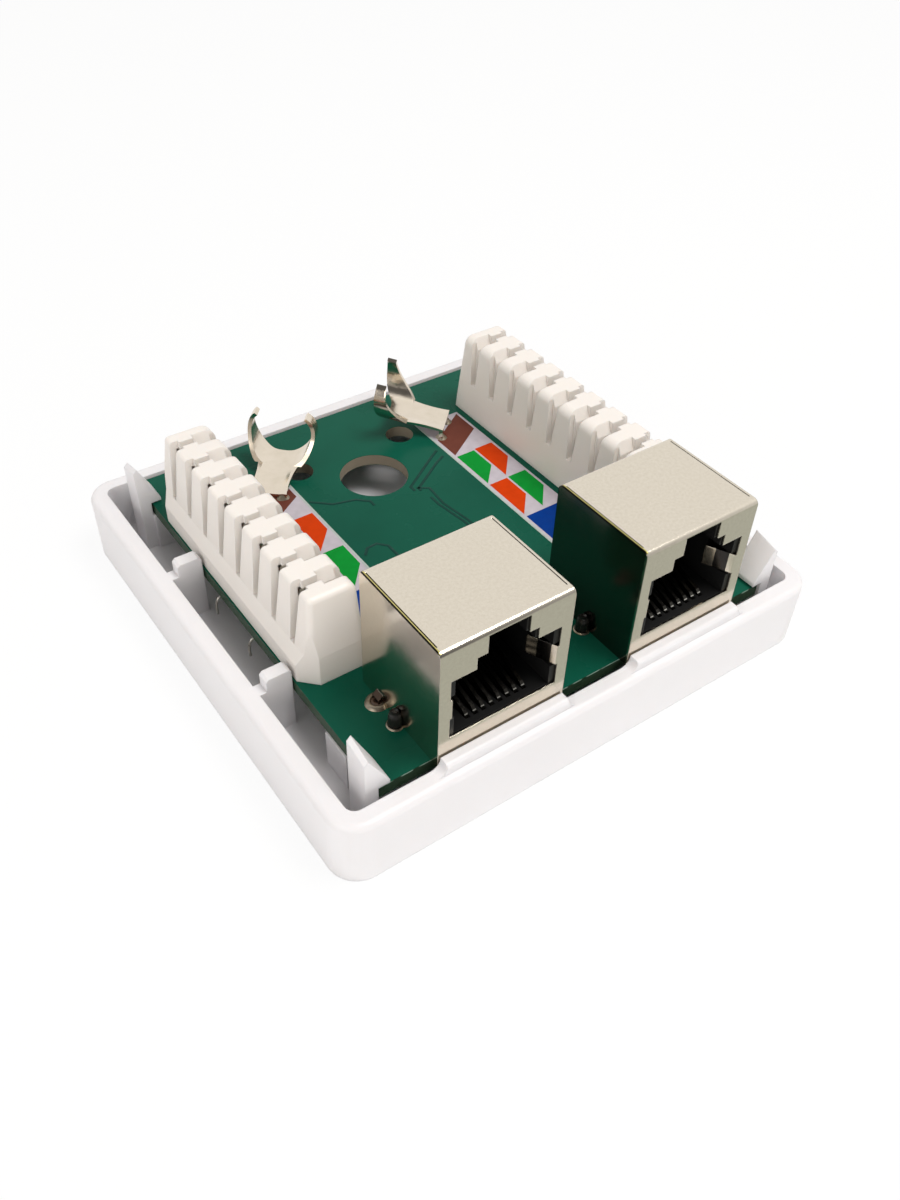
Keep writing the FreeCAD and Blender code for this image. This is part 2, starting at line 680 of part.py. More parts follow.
def make_terminal_block(side):
    """White terminal moulding: tapered teeth, wire slots with funnels, contact cavities."""
    block = block_body(f"{side}_terminal_block", side)
    section = new_sketch(block, "XZ_Plane")
    polygon(section, [("0", "0"), ("block_width", "0"), ("block_width", "flange_height"),
                      ("shoulder_x", "shoulder_height"), ("block_top_outer", "block_height"),
                      ("block_top_inner", "block_height")])
    pad(block, section, "block_length", centred=True)
    crest = sheet.block_height

    def along_crest(x):
        return lambda edge: all(abs(vertex.X - x) < 1e-4 and abs(vertex.Z - crest) < 1e-4
                                for vertex in edge.Vertexes)

    round_edges(block, "block_inner_round", along_crest(sheet.block_top_inner))
    round_edges(block, "block_outer_round", along_crest(sheet.block_top_outer))

    ends = new_sketch(block, "YZ_Plane")
    corners = new_sketch(block, "XY_Plane")
    for end in (-1, 1):
        face = f"{end} * block_length / 2"
        polygon(ends, [(face, "block_end_straight"),
                       (face, f"block_height + {CUT_MARGIN}"),
                       (f"{face} - {end} * block_end_taper", f"block_height + {CUT_MARGIN}"),
                       (f"{face} - {end} * block_end_taper", "block_height")])
        polygon(corners, [("block_width", f"{face} - {end} * block_corner_cut"),
                          ("block_width", face),
                          ("block_width - block_corner_cut", face)])
    pocket(block, ends, "2 * block_width").SideType = "Symmetric"
    half_length = sheet.block_length / 2
    outer_low = sheet.shoulder_x

    def on_end_corner(edge):
        box = edge.BoundBox
        return (max(abs(box.YMin), abs(box.YMax)) > half_length - sheet.block_end_taper - 1e-4
                and box.ZLength > sheet.block_height / 2 and box.XMin > outer_low / 2)

    round_edges(block, "block_end_round", on_end_corner)
    pocket(block, corners, reverse=True)

    first = f"({slot_offset(0)})"
    above = f"block_height + {CUT_MARGIN}"
    slot = new_sketch(block, "YZ_Plane")
    rectangle(slot, f"{first} - slot_width / 2", f"{first} + slot_width / 2",
              "slot_floor", above)
    slot_cut = pocket(block, slot, "2 * block_width + 1")
    slot_cut.SideType = "Symmetric"

    def flared(lift, width, depth):
        sketch = new_sketch(block, "YZ_Plane", lift)
        polygon(sketch, [(f"{first} - {width} / 2", "block_height"),
                         (f"{first} - {width} / 2", above),
                         (f"{first} + {width} / 2", above),
                         (f"{first} + {width} / 2", "block_height"),
                         (f"{first} + slot_width / 2", f"block_height - {depth}"),
                         (f"{first} - slot_width / 2", f"block_height - {depth}")])
        return sketch

    funnel = pocket(block, flared("funnel_length", "funnel_width", "funnel_depth"),
                    f"funnel_length + {CUT_MARGIN}")
    outer = pocket(block, flared(f"block_width + {CUT_MARGIN}", "outer_groove_width",
                                 "(block_height - shoulder_height)"),
                   f"block_width + {CUT_MARGIN} - block_top_outer + outer_groove_depth")
    inner = pocket(block, flared("block_top_inner + inner_groove_depth", "inner_groove_width",
                                 "(block_height - slot_floor)"),
                   f"block_top_inner + inner_groove_depth + {CUT_MARGIN}")

    cavity = new_sketch(block, "XY_Plane")
    rectangle(cavity, "fork_x - fork_sheet / 2 - contact_gap",
              "fork_x + fork_sheet / 2 + contact_gap",
              f"{first} - fork_width / 2 - contact_gap",
              f"{first} + fork_width / 2 + contact_gap")
    cavity_cut = pocket(block, cavity, "fork_top + contact_gap", reverse=True)
    cuts = [slot_cut, funnel, outer, inner, cavity_cut]
    repeat_along_y(block, cuts, "slot_pitch", "slot_count")

    for start, tail, way in ((0, "tail_inner_x", -1), (1, "tail_outer_x", 1)):
        link = new_sketch(block, "XY_Plane")
        row = f"({slot_offset(start)})"
        rectangle(link, f"fork_x - {way} * (fork_sheet / 2 + contact_gap)",
                  f"{tail} + {way} * (tail_thick / 2 + contact_gap)",
                  f"{row} - link_width / 2 - contact_gap",
                  f"{row} + link_width / 2 + contact_gap")
        link_cut = pocket(block, link, "fork_foot + link_thick + contact_gap", reverse=True)
        repeat_along_y(block, [link_cut], "2 * slot_pitch", "slot_count / 2")
    return block


def make_terminal_contact(side, index):
    """Stamped contact: a slit blade across the slot, a link and a tail through the board."""
    contact = block_body(f"{side}_terminal_contact_{index + 1}", side, slot_offset(index))
    blade = new_sketch(contact, "YZ_Plane", "fork_x")
    right = [("fork_width / 2", "fork_foot"),
             ("fork_width / 2", "fork_top - fork_lead_in / 2"),
             ("fork_width / 4", "fork_top"),
             ("fork_slit / 2", "fork_top - fork_lead_in"),
             ("fork_slit / 2", "fork_slit_floor")]
    left = [(f"-({y})", z) for y, z in reversed(right)]
    polygon(blade, right + left)
    pad(contact, blade, "fork_sheet", centred=True)

    tail, way = ("tail_outer_x", 1) if is_outer_tail(index) else ("tail_inner_x", -1)
    near = f"fork_x - {way} * fork_sheet / 2"
    link = new_sketch(contact, "XZ_Plane")
    polygon(link, [(near, "fork_foot + link_thick"), (near, "fork_foot"),
                   (f"{tail} - {way} * tail_thick / 2", "fork_foot"),
                   (f"{tail} - {way} * tail_thick / 2", "-tail_drop"),
                   (f"{tail} + {way} * tail_thick / 2", "-tail_drop"),
                   (f"{tail} + {way} * tail_thick / 2", "fork_foot + link_thick")])
    pad(contact, link, "link_width", centred=True)
    return contact


def through(points):
    """Smooth curve through points."""
    curve = Part.BSplineCurve()
    curve.interpolate(points)
    return curve


def prism(curve, corners, direction):
    """Solid between a curve and straight lines through corners, back to its start."""
    ring = [curve.EndPoint] + corners + [curve.StartPoint]
    edges = [curve.toShape()]
    edges += [Part.LineSegment(a, b).toShape() for a, b in zip(ring, ring[1:])]
    return Part.Face(Part.Wire(edges)).extrude(direction)


def trough_sheet(start, length):
    """The clamp's sheet before it is cut out: an open trough with inward-leaning wings."""
    half = [(sheet.clamp_trough_width / 2, sheet.clamp_trough_lift),
            (sheet.clamp_belly_width / 2, sheet.clamp_belly_height),
            (sheet.clamp_tip_spread / 2, sheet.clamp_height)]
    stations = [(-x, z) for x, z in reversed(half)] + [(0, 0)] + half
    middle = through([Vector(x, start, z) for x, z in stations])
    sides = []
    for offset in (sheet.clamp_sheet / 2, -sheet.clamp_sheet / 2):
        moved = []
        for step in range(17):
            at = middle.FirstParameter + (middle.LastParameter - middle.FirstParameter) * step / 16
            tangent = Vector(*middle.tangent(at)[0])
            moved.append(middle.value(at) + tangent.cross(Vector(0, 1, 0)) * offset)
        sides.append(through(moved))
    over, under = sides
    edges = [over.toShape(), Part.LineSegment(over.EndPoint, under.EndPoint).toShape(),
             under.toShape(), Part.LineSegment(under.StartPoint, over.StartPoint).toShape()]
    return Part.Face(Part.Wire(Part.__sortEdges__(edges))).extrude(Vector(0, length, 0))


def make_clamp(side):
    """Shield clamp: a strip on two legs that widens into a trough with two horns."""
    height = sheet.clamp_height
    low = -sheet.clamp_sheet - CUT_MARGIN
    high = height + CUT_MARGIN
    wide = sheet.clamp_belly_width + 2 * CUT_MARGIN
    beyond = sheet.clamp_wing_end_y + CUT_MARGIN
    shape = trough_sheet(-sheet.clamp_sheet / 2, beyond)

    near = through([Vector(-wide / 2, sheet.clamp_flare_y, sheet.clamp_trough_lift),
                    Vector(-wide / 2, sheet.clamp_shoulder_y, sheet.clamp_shoulder_height),
                    Vector(-wide / 2, sheet.clamp_horn_y, sheet.clamp_horn_height),
                    Vector(-wide / 2, sheet.clamp_tip_y, high)])
    far = through([Vector(-wide / 2, sheet.clamp_heel_y, low),
                   Vector(-wide / 2, sheet.clamp_heel_y, 0),
                   Vector(-wide / 2, sheet.clamp_lip_y, sheet.clamp_trough_lift),
                   Vector(-wide / 2, sheet.clamp_wing_end_y, sheet.clamp_belly_height),
                   Vector(-wide / 2, sheet.clamp_tip_y + sheet.clamp_tip_width, high)])
    across = Vector(wide, 0, 0)
    trims = [prism(near, [Vector(-wide / 2, -beyond, high),
                          Vector(-wide / 2, -beyond, sheet.clamp_trough_lift)], across),
             prism(far, [Vector(-wide / 2, 2 * beyond, high),
                         Vector(-wide / 2, 2 * beyond, low)], across)]
    for end in (-1, 1):
        flank = through([Vector(end * sheet.clamp_foot_width / 2, -CUT_MARGIN, low),
                         Vector(end * sheet.clamp_neck_width / 2, sheet.clamp_flare_y / 2, low),
                         Vector(end * sheet.clamp_trough_width / 2, sheet.clamp_flare_y, low)])
        trims.append(prism(flank, [Vector(end * wide / 2, sheet.clamp_flare_y, low),
                                   Vector(end * wide / 2, -CUT_MARGIN, low)],
                           Vector(0, 0, high - low)))
    shape = shape.cut(trims)
    shape.rotate(Vector(), Vector(1, 0, 0), sheet.clamp_tilt)
    rise = sheet.get(f"{side}_clamp_rise")
    shape.translate(Vector(0, 0, rise))

    for end in (-1, 1):
        leg = Part.makeBox(sheet.clamp_leg_width, sheet.clamp_sheet,
                           sheet.clamp_leg_drop + rise,
                           Vector(end * sheet.clamp_leg_offset - sheet.clamp_leg_width / 2,
                                  -sheet.clamp_sheet / 2, -sheet.clamp_leg_drop))
        shape = shape.fuse(leg)
    clamp = doc.addObject("Part::Feature", f"{side}_shield_clamp")
    clamp.Label = f"{side}_shield_clamp"
    clamp.Shape = shape.removeSplitter().Solids[0]
    sign = SIDES[side]
    clamp.setExpression("Placement.Base.x", bound(f"{sign} * clamp_x"))
    clamp.setExpression("Placement.Base.y", bound(CLAMP_Y))
    clamp.setExpression("Placement.Base.z", bound(BOARD_TOP))
    clamp.setExpression("Placement.Rotation.Angle", bound(f"{sign} * clamp_turn"))
    return clamp


subparts = [make_tray(), make_board()]
for side in SIDES:
    subparts += [make_shield(side), make_housing(side), make_comb(side)]
    subparts += [make_jack_contact(side, index) for index in range(round(sheet.wire_count))]
    subparts.append(make_terminal_block(side))
    subparts += [make_terminal_contact(side, index) for index in range(round(sheet.slot_count))]
    subparts.append(make_clamp(side))
doc.recompute()

# Every feature has to be sound, and every cut has to take something away
for item in doc.Objects:
    if "Invalid" in item.State or "Error" in item.State:
        raise RuntimeError(f"{item.Label} failed: {item.State}")
    if item.TypeId == "PartDesign::Pocket":
        if item.Shape.Volume >= item.BaseFeature.Shape.Volume:
            raise RuntimeError(f"{item.Label} cuts nothing")

os.makedirs("parts", exist_ok=True)
for part in subparts:
    if part.Shape.isNull() or not part.Shape.isValid():
        raise RuntimeError(f"{part.Label} has no valid shape")
    if len(part.Shape.Solids) != 1:
        raise RuntimeError(f"{part.Label} has {len(part.Shape.Solids)} solids")
for part in subparts:
    part.Shape.exportStep(f"parts/{part.Label}.step")
print(len(subparts), "sub-parts written")
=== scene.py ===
import math

import bpy
import numpy as np
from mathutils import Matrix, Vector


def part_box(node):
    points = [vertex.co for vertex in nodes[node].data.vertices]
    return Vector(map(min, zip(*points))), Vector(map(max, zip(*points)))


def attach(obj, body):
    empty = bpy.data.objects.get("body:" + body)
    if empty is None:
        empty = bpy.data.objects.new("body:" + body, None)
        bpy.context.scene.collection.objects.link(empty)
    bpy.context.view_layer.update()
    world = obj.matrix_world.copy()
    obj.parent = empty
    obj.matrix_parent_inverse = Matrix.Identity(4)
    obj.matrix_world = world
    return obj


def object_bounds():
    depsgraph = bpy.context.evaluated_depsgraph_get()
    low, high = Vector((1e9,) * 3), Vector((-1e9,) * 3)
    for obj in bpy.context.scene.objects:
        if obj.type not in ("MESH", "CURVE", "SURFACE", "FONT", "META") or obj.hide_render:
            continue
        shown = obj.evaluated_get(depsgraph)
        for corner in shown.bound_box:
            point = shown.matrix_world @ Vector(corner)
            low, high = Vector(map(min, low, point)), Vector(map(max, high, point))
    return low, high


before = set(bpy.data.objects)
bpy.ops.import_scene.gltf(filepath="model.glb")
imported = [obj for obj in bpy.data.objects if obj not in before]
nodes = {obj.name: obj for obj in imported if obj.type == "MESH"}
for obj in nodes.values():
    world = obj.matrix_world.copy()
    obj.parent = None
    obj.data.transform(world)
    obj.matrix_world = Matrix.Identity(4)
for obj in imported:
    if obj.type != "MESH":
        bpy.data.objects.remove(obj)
cad_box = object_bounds()
scene = bpy.context.scene
scene.view_settings.view_transform = "Standard"

# ---------------------------------------------------------------- camera and studio
# The box stands on a sheet of white card and is seen from its front left, from above.
# A soft lamp hangs over its right front and a weak one stands at its left. The card
# before it throws light back on the tray, and the room there is dim in polished metal.
CAMERA_PLACE = (-0.059746, -0.083751, 0.094224)
CAMERA_TURN = (46.7056, -1.5584, -35.1591)
WHITE = (1, 1, 1, 1)
CARD_REACH = 3.0
camera = bpy.data.objects.new("camera", bpy.data.cameras.new("camera"))
camera.location = CAMERA_PLACE
camera.rotation_euler = [math.radians(angle) for angle in CAMERA_TURN]
camera.data.sensor_fit = "VERTICAL"
camera.data.sensor_height = 36
camera.data.lens = 32.33
camera.data.clip_start = 0.002
scene.collection.objects.link(camera)
scene.camera = camera


def new_lamp(name, place, target, size, watts, colour):
    """A square soft lamp at place that points at target."""
    lamp = bpy.data.objects.new(name, bpy.data.lights.new(name, "AREA"))
    lamp.data.size = size
    lamp.data.energy = watts
    lamp.data.color = colour
    lamp.location = place
    aim = np.subtract(place, target)
    lamp.rotation_euler = (math.atan2(np.hypot(aim[0], aim[1]), aim[2]), 0,
                           math.atan2(aim[0], -aim[1]))
    scene.collection.objects.link(lamp)


def feed(material, socket, value):
    """Give a socket another socket's value, or a number or colour of its own."""
    if isinstance(value, bpy.types.NodeSocket):
        tree = material.node_tree if hasattr(material, "node_tree") else material
        tree.links.new(value, socket)
    else:
        socket.default_value = value


def set_up(material, node, **settings):
    """Give a node its settings, and feed the sockets of the other names."""
    for name, value in settings.items():
        if hasattr(node, name):
            setattr(node, name, value)
        else:
            feed(material, node.inputs[name.replace("_", " ")], value)
    return node


def add(material, kind, **settings):
    """One more node in a material or a group, set up."""
    tree = material.node_tree if hasattr(material, "node_tree") else material
    return set_up(material, tree.nodes.new(kind), **settings)


def new_material(name):
    """A node material and its Principled BSDF, wired to the output."""
    material = bpy.data.materials.new(name)
    material.use_nodes = True
    return material, material.node_tree.nodes["Principled BSDF"]


def maths(material, operation, *values):
    """The result of one operation on numbers or sockets."""
    node = add(material, "ShaderNodeMath", operation=operation)
    for socket, value in zip(node.inputs, values):
        feed(material, socket, value)
    return node.outputs[0]


def carry(material, value, low, high, start=0.0, end=1.0):
    """A value between start and end carried to the range from low to high."""
    node = add(material, "ShaderNodeMapRange", Value=value, From_Min=start, From_Max=end,
               To_Min=low, To_Max=high)
    return node.outputs["Result"]


def place_on(material):
    """The X, Y and Z of the piece's own coordinates."""
    place = add(material, "ShaderNodeTexCoord").outputs["Object"]
    return add(material, "ShaderNodeSeparateXYZ", Vector=place).outputs


def join_shaders(material, kind, first, second, **settings):
    """A Mix or Add Shader node of two shaders."""
    node = add(material, kind, **settings)
    feed(material, node.inputs[-2], first)
    feed(material, node.inputs[-1], second)
    return node.outputs["Shader"]


def background_rays(material):
    """1 for camera, glossy and transmission rays, which see the white background."""
    rays = add(material, "ShaderNodeLightPath").outputs
    total = maths(material, "MAXIMUM", rays["Is Camera Ray"], rays["Is Glossy Ray"])
    return maths(material, "MAXIMUM", total, rays["Is Transmission Ray"])


new_lamp("softbox", (0.13, -0.13, 0.45), (0, 0, 0.01), 0.22, 1.5, (1, 0.985, 0.965))
new_lamp("fill", (-0.42, -0.14, 0.22), (0, 0, 0.01), 0.30, 0.7, (1, 0.97, 0.94))

world = bpy.data.worlds.new("studio")
scene.world = world
world.use_nodes = True
sky = set_up(world, world.node_tree.nodes["Background"], Color=(1.0, 0.97, 0.93, 1),
             Strength=0.50)
direction = add(world, "ShaderNodeVectorMath", operation="DOT_PRODUCT")
feed(world, direction.inputs[0], add(world, "ShaderNodeTexCoord").outputs["Generated"])
feed(world, direction.inputs[1], (-0.55, -0.78, 0.30))
dim_room = carry(world, direction.outputs["Value"], 1.0, 0.10, start=0.15, end=0.55)
camera_ray = add(world, "ShaderNodeLightPath").outputs["Is Camera Ray"]
white = add(world, "ShaderNodeBackground", Color=WHITE,
            Strength=maths(world, "MAXIMUM", camera_ray, dim_room))
room = join_shaders(world, "ShaderNodeMixShader", sky.outputs["Background"],
                    white.outputs["Background"], Fac=background_rays(world))
feed(world, world.node_tree.nodes["World Output"].inputs["Surface"], room)

card, card_shader = new_material("white_card")
set_up(card, card_shader, Base_Color=(0.90, 0.90, 0.90, 1), Roughness=0.9)
seen = background_rays(card)
glow = add(card, "ShaderNodeEmission", Color=WHITE, Strength=1.0)
paper = join_shaders(card, "ShaderNodeMixShader", card_shader.outputs["BSDF"],
                     glow.outputs["Emission"], Fac=maths(card, "MULTIPLY", seen, 0.90))
# Before the box the card is brightest in its diffuse light, and dimmer in polished metal.
before = maths(card, "LESS_THAN", place_on(card)["Y"], cad_box[0][1])
unseen = maths(card, "MULTIPLY", before, maths(card, "SUBTRACT", 1.0, seen))
bounce = add(card, "ShaderNodeEmission", Color=WHITE,
             Strength=maths(card, "MULTIPLY", unseen, 0.38))
paper = join_shaders(card, "ShaderNodeAddShader", paper, bounce.outputs["Emission"])
glossy_ray = add(card, "ShaderNodeLightPath").outputs["Is Glossy Ray"]
dim_card = add(card, "ShaderNodeEmission", Color=(0.95, 1.0, 0.92, 1), Strength=0.56)
paper = join_shaders(card, "ShaderNodeMixShader", paper, dim_card.outputs["Emission"],
                     Fac=maths(card, "MULTIPLY", before, glossy_ray))
feed(card, card.node_tree.nodes["Material Output"].inputs["Surface"], paper)
floor_mesh = bpy.data.meshes.new("floor")
floor_mesh.from_pydata([(-CARD_REACH, -CARD_REACH, 0), (CARD_REACH, -CARD_REACH, 0),
                        (CARD_REACH, CARD_REACH, 0), (-CARD_REACH, CARD_REACH, 0)],
                       [], [(0, 1, 2, 3)])
floor_mesh.materials.append(card)
floor = bpy.data.objects.new("floor", floor_mesh)
scene.collection.objects.link(floor)


# ---------------------------------------------------------------- moulded tray
# The shallow wall tray is moulded in white plastic with a satin skin.
# Its edges are a little soft, and faint flow marks vary the sheen.
def new_group(name, inputs, outputs):
    """A shader node group with named float inputs and outputs of the given kinds."""
    group = bpy.data.node_groups.new(name, "ShaderNodeTree")
    for label, value in inputs.items():
        socket = group.interface.new_socket(label, in_out="INPUT", socket_type="NodeSocketFloat")
        socket.default_value = value
    for label, kind in outputs.items():
        group.interface.new_socket(label, in_out="OUTPUT", socket_type=kind)
    return group, group.nodes.new("NodeGroupInput"), group.nodes.new("NodeGroupOutput")


def noise(material, scale, detail, roughness=0.5):
    """Cloudy noise over the piece's own coordinates."""
    place = add(material, "ShaderNodeTexCoord").outputs["Object"]
    return add(material, "ShaderNodeTexNoise", Vector=place, Scale=scale, Detail=detail,
               Roughness=roughness).outputs["Fac"]


def mix_colours(material, share, first, second):
    """The first colour where share is 0 and the second where it is 1."""
    node = add(material, "ShaderNodeMix", data_type="RGBA")
    feed(material, node.inputs[0], share)
    for socket, colour in ((node.inputs[6], first), (node.inputs[7], second)):
        feed(material, socket, (*colour, 1) if isinstance(colour, tuple) else colour)
    return node.outputs[2]


moulded, moulded_in, moulded_out = new_group(
    "moulded_skin", {"Grain size": 2600.0, "Grain depth": 0.1, "Edge radius": 0.00018},
    {"Blotch": "NodeSocketFloat", "Normal": "NodeSocketVector"})
soft_edge = add(moulded, "ShaderNodeBevel", samples=4,
                Radius=moulded_in.outputs["Edge radius"])
skin = add(moulded, "ShaderNodeBump", Distance=0.00004,
           Strength=moulded_in.outputs["Grain depth"],
           Height=noise(moulded, moulded_in.outputs["Grain size"], 3.0, 0.6),
           Normal=soft_edge.outputs["Normal"])
feed(moulded, moulded_out.inputs["Blotch"], noise(moulded, 70.0, 4.0, 0.55))
feed(moulded, moulded_out.inputs["Normal"], skin.outputs["Normal"])


def moulded_material(name, dark, light, roughness, spread, **group_values):
    """Moulded plastic whose colour and gloss drift with the blotches of the skin."""
    material, shader = new_material(name)
    skin = add(material, "ShaderNodeGroup", node_tree=moulded, **group_values)
    blotch = skin.outputs["Blotch"]
    set_up(material, shader, Base_Color=mix_colours(material, blotch, dark, light),
           Roughness=carry(material, blotch, roughness, roughness + spread),
           Normal=skin.outputs["Normal"])
    return material, shader


def give(label, material):
    """Put a material on every node whose name holds the label."""
    for name, node in nodes.items():
        if label in name:
            node.data.materials.clear()
            node.data.materials.append(material)


tray_plastic, tray_shader = moulded_material(
    "tray_plastic", (0.76, 0.745, 0.765), (0.81, 0.80, 0.815), 0.36, 0.12, Grain_depth=0.12)
set_up(tray_plastic, tray_shader, Subsurface_Weight=0.12,
       Subsurface_Radius=(0.002, 0.0016, 0.0014), Subsurface_Scale=0.6)
give("base_tray", tray_plastic)


# ---------------------------------------------------------------- circuit board
# Glass-cloth laminate, 1.6 mm thick, under glossy green solder mask on both faces.
# Its sawn edges show the laminate, paler in the holes. A speckled painted highlight lines the
# top of the front edge.
def product(material, *masks):
    """All the masks at once."""
    total = masks[0]
    for mask in masks[1:]:
        total = maths(material, "MULTIPLY", total, mask)
    return total


MASK_DEPTH = 0.00004
HIGHLIGHT_DEPTH = 0.00022
board_low, board_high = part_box("circuit_board")
mask, mask_shader = new_material("solder_mask")
x, y, z = place_on(mask)
cloud = noise(mask, 55.0, 5.0, 0.6)
behind_front = board_low[1] + 0.0005
in_hole = product(mask, maths(mask, "LESS_THAN", maths(mask, "ABSOLUTE", x),
                              board_high[0] - 0.002),
                  maths(mask, "GREATER_THAN", y, behind_front))
# Painted highlight: a pale speckled band along the top of the board's front edge.
painted_edge_highlight = product(mask, maths(mask, "GREATER_THAN", z, board_high[2] - HIGHLIGHT_DEPTH),
                 maths(mask, "LESS_THAN", y, behind_front),
                 carry(mask, noise(mask, 900.0, 2.0), 0.0, 1.0, start=0.38, end=0.54))
sawn = product(mask, maths(mask, "LESS_THAN", z, board_high[2] - MASK_DEPTH),
               maths(mask, "GREATER_THAN", z, board_low[2] + MASK_DEPTH))
laminate = mix_colours(mask, in_hole, (0.035, 0.070, 0.040), (0.30, 0.26, 0.20))
# The pale colour here is the painted highlight on the front edge.
laminate = mix_colours(mask, painted_edge_highlight, laminate, (0.40, 0.58, 0.48))
green = mix_colours(mask, cloud, (0.002, 0.062, 0.037), (0.006, 0.105, 0.065))
ripple = add(mask, "ShaderNodeBump", Strength=0.05, Distance=0.00003,
             Height=noise(mask, 1500.0, 3.0, 0.7))
set_up(mask, mask_shader, Base_Color=mix_colours(mask, sawn, green, laminate),
       Roughness=carry(mask, cloud, 0.2, 0.34), Specular_IOR_Level=0.07,
       Normal=ripple.outputs["Normal"])
give("circuit_board", mask)

# ---------------------------------------------------------------- copper tracks
# Etched copper runs under the mask, which stands up a little over each one and is
# darker along its foot. They leave the wire terminals and run to the jacks.
TRACK_WIDTH = 0.00042
TRACK_RISE = 0.00005
TRACK_SUNK = 0.00001
TRACKS = [
    [(-10.0, 14.0), (-7.7, 12.0), (-4.8, 11.2), (-3.4, 9.9), (-3.4, 8.9)],
    [(10.0, 14.4), (8.2, 13.3), (2.6, 9.6), (2.6, 8.6)],
    [(10.0, 12.9), (8.6, 12.2), (3.3, 8.8), (3.3, 8.2)],
    [(3.1, 9.0), (4.5, 8.1), (4.2, 4.5), (4.9, 0.0), (4.9, -11.0)],
    [(3.6, 6.4), (3.6, 4.6), (4.3, 0.0), (4.3, -11.0)],
    [(-9.5, 1.3), (-8.6, 2.3), (-7.2, 2.4), (-6.2, 1.3), (-6.2, -11.0)],
]


def new_piece(name, points, faces, material, smooth=True):
    """A mesh object from arrays of points and faces, riding on the box."""
    mesh = bpy.data.meshes.new(name)
    mesh.from_pydata(np.asarray(points).tolist(), [], [list(map(int, f)) for f in faces])
    mesh.materials.append(material)
    mesh.polygons.foreach_set("use_smooth", [smooth] * len(mesh.polygons))
    piece = bpy.data.objects.new(name, mesh)
    scene.collection.objects.link(piece)
    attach(piece, "root")


def ribbon(path, width, rise, base):
    """A flat strip along a path: each point is moved sideways along the mean normal
    of its two runs, and a low profile with sloping sides is carried through them."""
    runs = np.diff(path, axis=0)
    runs /= np.linalg.norm(runs, axis=1)[:, None]
    normals = np.column_stack([-runs[:, 1], runs[:, 0]])
    mean = np.vstack([normals[:1], normals[:-1] + normals[1:], normals[-1:]])
    mean /= (np.linalg.norm(mean, axis=1) ** 2)[:, None]
    mean *= np.r_[1.0, np.full(len(path) - 2, 2.0), 1.0][:, None]
    profile = np.array([(-0.5, 0.0), (-0.36, 1.0), (0.36, 1.0), (0.5, 0.0)])
    across = path[:, None, :] + mean[:, None, :] * (profile[:, 0] * width)[None, :, None]
    high = np.broadcast_to(base + profile[:, 1] * rise, across.shape[:2])[..., None]
    points = np.concatenate([across, high], axis=2).reshape(-1, 3)
    first = (np.arange(len(path) - 1)[:, None] * 4 + np.arange(3)[None, :]).ravel()
    faces = np.column_stack([first, first + 4, first + 5, first + 1])
    return points, faces


def gather(parts):
    """Several (points, faces) joined into one, each keeping its own points."""
    points, faces, count = [], [], 0
    for some_points, some_faces in parts:
        points.append(some_points)
        faces.extend([[int(v) + count for v in face] for face in some_faces])
        count += len(some_points)
    return np.vstack(points), faces


copper, copper_shader = new_material("masked_copper")
set_up(copper, copper_shader, Roughness=0.26, Specular_IOR_Level=0.07,
       Base_Color=mix_colours(copper, noise(copper, 400.0, 3.0), (0.004, 0.040, 0.030),
                              (0.009, 0.056, 0.042)))
points, faces = gather([ribbon(np.array(path) / 1000, TRACK_WIDTH, TRACK_RISE,
                               board_high[2] - TRACK_SUNK) for path in TRACKS])
new_piece("copper_tracks", points, faces, copper)

# ---------------------------------------------------------------- printed colour code
# Ink fields, screen printed on a white ground beside each terminal block: one field for
# each wire colour, in two columns, with the striped wire's field cut on the slant.
PRINT_RISE = 0.00002
INKS = {
    "white": (0.52, 0.48, 0.53), "grey": (0.44, 0.50, 0.47), "brown": (0.14, 0.042, 0.028),
    "orange": (0.60, 0.045, 0.001), "green": (0.002, 0.26, 0.030), "blue": (0.0, 0.035, 0.23),
}
GROUND = [(0.0, -12.5), (6.6, -12.5), (6.6, 20.6), (0.0, 20.6)]
BORDER = [(-0.14, -13.0), (0.14, -13.0), (0.14, 21.0), (-0.14, 21.0)]
FIELDS = [
    ("brown", [(0.35, 16.3), (6.25, 20.2), (6.25, 15.9), (0.35, 12.1)]),
    ("green", [(0.35, 11.7), (3.15, 11.7), (3.15, 7.7), (0.35, 4.7)]),
    ("orange", [(3.45, 11.9), (6.25, 11.9), (6.25, 8.1), (3.45, 4.9)]),
    ("orange", [(0.35, 4.3), (3.15, 4.3), (3.15, 0.2), (0.35, -3.0)]),
    ("green", [(3.45, 4.4), (6.25, 4.4), (6.25, 0.4), (3.45, -2.9)]),
    ("blue", [(0.35, -3.5), (6.25, -3.5), (6.25, -7.0), (0.35, -11.0)]),
]


def ink_material(name, colour):
    """Ink, slightly uneven where the screen's mesh shows, with a satin surface."""
    material, shader = new_material(name)
    thin = tuple(value * 0.82 for value in colour)
    thick = tuple(min(1, value * 1.12) for value in colour)
    set_up(material, shader, Roughness=0.5, Specular_IOR_Level=0.06,
           Base_Color=mix_colours(material, noise(material, 900.0, 3.0), thin, thick))
    return material


def plate(outline, shift, low, high):
    """A thin plate: its outline, in mm and moved along x, at two heights, walls between
    them and a top."""
    count = len(outline)
    outline = (np.array(outline) + (shift, 0)) / 1000
    points = np.vstack([np.column_stack([outline, np.full(count, z)]) for z in (low, high)])
    ring = np.arange(count)
    after = (ring + 1) % count
    walls = np.column_stack([ring, after, after + count, ring + count])
    return points, [*walls.tolist(), (ring + count).tolist()]


